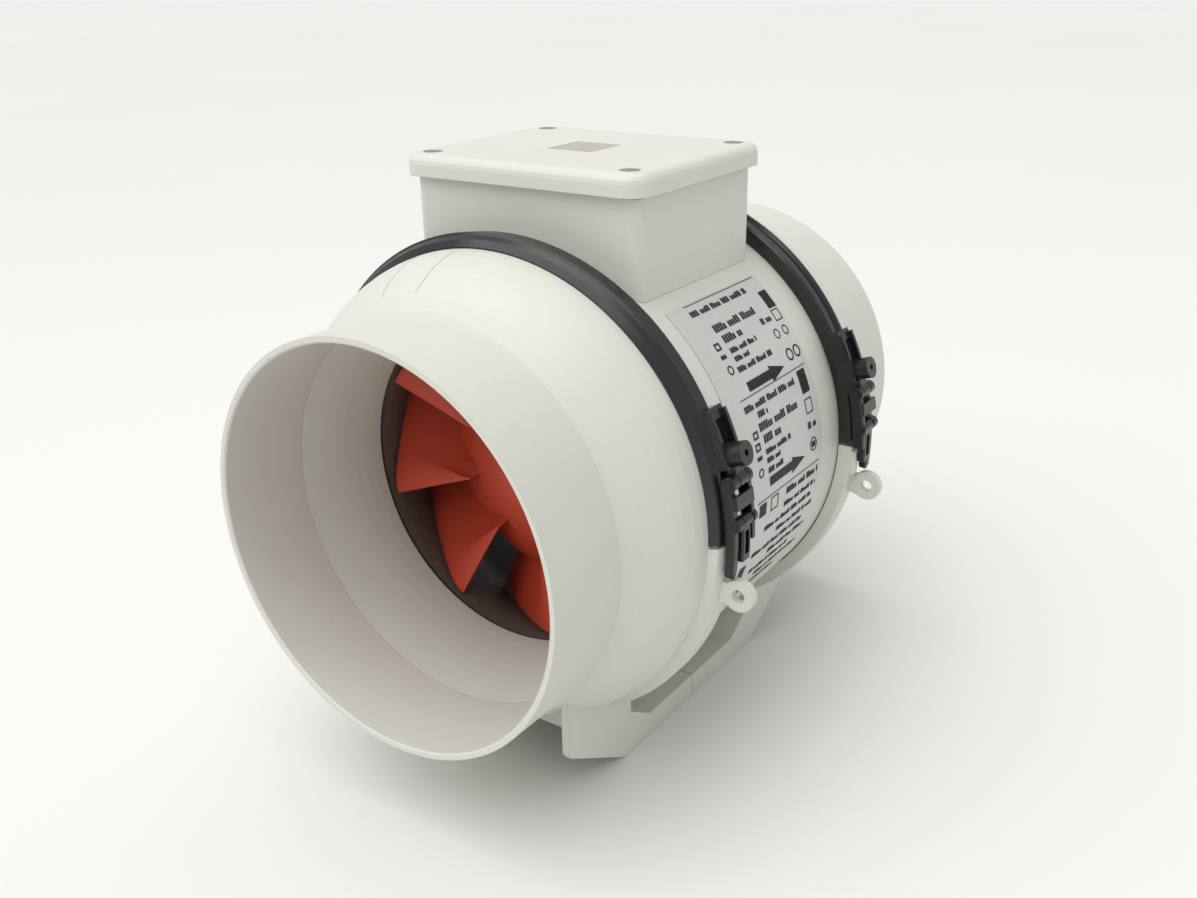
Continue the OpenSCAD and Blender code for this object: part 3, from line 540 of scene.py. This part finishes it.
label = {
    "radius": 92.36 * mm,
    "inkHeight": 0.08 * mm,
    "pitch": 25.3,  # degrees from one panel to the next
    "lineSpan": (110, 163),  # y in mm of the dividing lines
    "lineWidth": 0.18,  # degrees
    "firstLine": 25.3,  # degrees, where the dividing line above the middle panel lies
}


def inkPatch(shape, outline, steps=6):
    # a flat outline of [y, degrees] points laid on the drum as a thin raised film; each edge is cut
    # into short steps so that it follows the curve
    ring = []
    for i, (y, a) in enumerate(outline):
        yNext, aNext = outline[(i + 1) % len(outline)]
        ring += [(y + (yNext - y) * k / steps, a + (aNext - a) * k / steps) for k in range(steps)]
    low = [shape.verts.new(onRing(label["radius"] - 0.03 * mm, a, y)) for y, a in ring]
    high = [shape.verts.new(onRing(label["radius"] + label["inkHeight"], a, y)) for y, a in ring]
    shape.faces.new(high)
    for i in range(len(ring)):
        n = (i + 1) % len(ring)
        shape.faces.new((low[i], low[n], high[n], high[i]))
    shape.faces.new(low[::-1])


def inkBar(shape, y0, y1, a0, a1):
    # a wide bar is laid as narrow strips, so that it stays on the curve
    strips = max(1, math.ceil((a1 - a0) / 1.5))
    for k in range(strips):
        low = a0 + (a1 - a0) * k / strips
        high = a0 + (a1 - a0) * (k + 1) / strips
        inkPatch(shape, [(y0 * mm, low), (y1 * mm, low), (y1 * mm, high), (y0 * mm, high)], 2)


def inkFrame(shape, y0, y1, a0, a1, line):
    # an outlined square: two long bars and two short ones
    turn = math.degrees(line * mm / label["radius"])
    inkBar(shape, y0, y1, a0, a0 + turn)
    inkBar(shape, y0, y1, a1 - turn, a1)
    inkBar(shape, y0, y0 + line, a0 + turn, a1 - turn)
    inkBar(shape, y1 - line, y1, a0 + turn, a1 - turn)


def inkRing(shape, y, a, radius, line, parts=20):
    scale = math.degrees(mm / label["radius"])
    for k in range(parts):
        corners = []
        for step, r in ((k, radius), (k + 1, radius), (k + 1, radius - line), (k, radius - line)):
            t = 2 * math.pi * step / parts
            corners.append(((y + r * math.cos(t)) * mm, a + r * math.sin(t) * scale))
        inkPatch(shape, corners, 1)


def inkWords(shape, y0, y1, a, height, word=6, gap=0.45):
    # a line of type shown as plain upright blocks, in words of uneven length
    cell = math.radians(height) * label["radius"] / mm * 0.55
    thin = height / 2
    y = y0
    k = 0
    while y < y1 - cell:
        letters = 2 + int(word * abs(math.sin(1.7 * k + y0)))
        for i in range(letters):
            if y > y1 - cell:
                break
            # some blocks are low, as small letters are
            high = a - thin + height * (0.72 if math.sin(5.3 * i + 2.1 * k) > 0.1 else 1.0)
            near, far = y * mm, (y + cell * 0.74) * mm
            inkPatch(shape, [(near, a - thin), (far, a - thin), (far, high), (near, high)], 1)
            y += cell
        y += cell * gap * 2
        k += 1


def inkArrow(shape, y0, y1, a, half):
    neck = y1 - 11
    inkPatch(shape, [(y0 * mm, a - half), (neck * mm, a - half), (neck * mm, a - half * 1.75),
                     (y1 * mm, a), (neck * mm, a + half * 1.75), (neck * mm, a + half),
                     (y0 * mm, a + half)], 4)


# lines of type: degrees below the panel's top line, y from and to in mm, height in degrees, word length
typeLines = {
    "panel": ((2.5, 110.5, 152.5, 1.55, 6), (5.0, 118.5, 127.5, 1.5, 3), (7.9, 117, 149, 2.0, 6),
              (11.0, 118.5, 133.5, 2.0, 3), (14.1, 118.5, 139.5, 1.3, 7), (16.3, 118.5, 130.5, 1.25, 4),
              (18.8, 118.8, 132, 1.4, 5), (14.9, 154.0, 161.5, 1.7, 3)),
    "head": ((2.5, 110.5, 152.5, 1.55, 5), (7.9, 117, 149, 2.0, 5), (11.0, 118.5, 133.5, 2.0, 5),
             (14.1, 118.5, 139.5, 1.3, 5), (16.3, 118.5, 130.5, 1.25, 5), (18.8, 117, 144, 1.4, 5),
             (11.4, 147.5, 156.0, 1.6, 3)),
    "tail": ((2.2, 134, 163, 1.7, 5),),
}
# y from and to in mm of the small lines in the block at the label's lower end
tailLines = ((133, 162), (118, 160), (130, 162), (112, 156), (128, 162), (116, 150), (124, 161), (112, 146))


def printType(shape, top, lines):
    for below, y0, y1, height, word in lines:
        inkWords(shape, y0, y1, top - below, height, word)


def printColumn(shape, top, y0, rows):
    # the tall line along the inlet side: small outlined blocks, each given by its place and its width
    for below, size in rows:
        inkFrame(shape, y0, y0 + 3.6, top - below - size / 2, top - below + size / 2, 0.75)


def printPanel(shape, top):
    # the middle panel; top is the angle of the line above it
    inkBar(shape, *label["lineSpan"], top - label["lineWidth"], top)
    printType(shape, top, typeLines["panel"])
    inkArrow(shape, 119.5, 149.5, top - 21.7, 1.15)
    inkRing(shape, 113.2, top - 18.2, 1.9, 0.6)
    printColumn(shape, top, 111.4, ((14.6, 1.0), (11.9, 1.9), (9.0, 1.9)))
    # marks down the outlet side
    inkBar(shape, 154.7, 161.1, top - 6.8, top - 0.9)
    inkFrame(shape, 154.5, 160.3, top - 12.0, top - 8.2, 0.45)
    inkRing(shape, 157.6, top - 20.2, 2.9, 0.5)
    inkBar(shape, 156.0, 159.2, top - 20.9, top - 19.5)


def printTail(shape, top):
    # the block of type at the label's lower end
    inkBar(shape, *label["lineSpan"], top - label["lineWidth"], top)
    inkBar(shape, 111.5, 117.0, top - 4.2, top - 0.9)
    inkFrame(shape, 121, 127, top - 4.6, top - 0.9, 0.45)
    printType(shape, top, typeLines["tail"])
    for k, (y0, y1) in enumerate(tailLines):
        inkWords(shape, y0, y1, top - 5.6 - 3.1 * k, 1.3, 6)
    inkBar(shape, 104, 109, top - 21.5, top - 16.5)
    inkFrame(shape, 103.5, 109, top - 28, top - 23.5, 0.45)


def printHead(shape, top):
    # the panel above, which carries other marks on its outlet side
    inkBar(shape, *label["lineSpan"], top - label["lineWidth"], top)
    printType(shape, top, typeLines["head"])
    inkArrow(shape, 118.4, 147.8, top - 23.4, 1.15)
    inkRing(shape, 112.6, top - 18.0, 1.9, 0.6)
    printColumn(shape, top, 110.8, ((14.6, 1.0), (11.9, 1.9)))
    inkBar(shape, 158.6, 164.4, top - 9.4, top - 4.4)
    inkFrame(shape, 158.2, 163.6, top - 13.0, top - 9.9, 0.45)
    for y in (153.6, 160.6):
        inkRing(shape, y, top - 15.7, 2.1, 0.5)
    for y in (155.4, 161.4):
        inkRing(shape, y, top - 21.6, 2.6, 0.7)


def printLabel():
    shape = bmesh.new()
    top = label["firstLine"]
    printPanel(shape, top)
    printHead(shape, top + label["pitch"])
    printTail(shape, top - label["pitch"])
    piece = makePiece("labelPrint", shape, ink, "casing", smooth=False)
    print("label printed:", len(piece.data.polygons), "faces")


def surfaceOf(nodeName):
    return BVHTree.FromObject(nodes[nodeName], bpy.context.evaluated_depsgraph_get())


scribe = {
    "angles": (109.0, 97.0),  # degrees round the shoulder
    "front": 42 * mm,
    "back": 65 * mm,
    "width": 0.35 * mm,
    "height": 0.06 * mm,
}


def scribeLines():
    # two fine flow lines on the inlet shoulder, laid on its surface
    skin = surfaceOf("inlet_housing")
    shape = bmesh.new()
    steps = 24
    half = math.degrees(scribe["width"] / 2 / (90 * mm))
    for angle in scribe["angles"]:
        rows = []
        for k in range(steps + 1):
            y = scribe["front"] + (scribe["back"] - scribe["front"]) * k / steps
            row = []
            for a in (angle - half, angle + half):
                out = onRing(1, a, 0)
                hit = skin.ray_cast(onRing(0.13, a, y), -out)[0]
                row.append(hit + out * scribe["height"])
            row += [row[1] - onRing(0.25 * mm, angle, 0), row[0] - onRing(0.25 * mm, angle, 0)]
            rows.append([shape.verts.new(p) for p in row])
        for k in range(steps):
            for i in range(4):
                n = (i + 1) % 4
                shape.faces.new((rows[k][i], rows[k][n], rows[k + 1][n], rows[k + 1][i]))
        shape.faces.new(rows[0])
        shape.faces.new(rows[-1][::-1])
    makePiece("shoulderLines", shape, paint["badge_plastic"], "casing", smooth=False)


specks = {
    # y in mm, degrees round the axis, radius in mm
    "spots": ((41, 212, 0.55), (30, 148, 0.4), (34, 250, 0.45), (12, 196, 0.5), (24, 226, 0.4)),
    "height": 0.15 * mm,
}


def addSpecks():
    # moulding specks on the inside of the inlet spigot, each a small low dome
    skin = surfaceOf("inlet_housing")
    shape = bmesh.new()
    for y, degrees, radius in specks["spots"]:
        inward = -onRing(1, degrees, 0)
        hit = skin.ray_cast(onRing(0.02, degrees, y * mm), -inward)[0]
        turn = inward.to_track_quat("Z", "Y").to_matrix().to_4x4()
        dome = bmesh.ops.create_icosphere(shape, subdivisions=2, radius=radius * mm)
        for vert in dome["verts"]:
            vert.co.z *= specks["height"] / (radius * mm)
        bmesh.ops.transform(shape, matrix=Matrix.Translation(hit) @ turn, verts=dome["verts"])
    makePiece("mouldingSpecks", shape, paint["casing_plastic"], "casing")


setCamera()
setSky()
layFloor()
addDaylight()
addSoftbox("overheadSoftbox", studio["overheadPlace"], studio["overheadTarget"])
print("stage set")
dressNodes()
buildWheel()
printLabel()
scribeLines()
addSpecks()
print("pieces made")
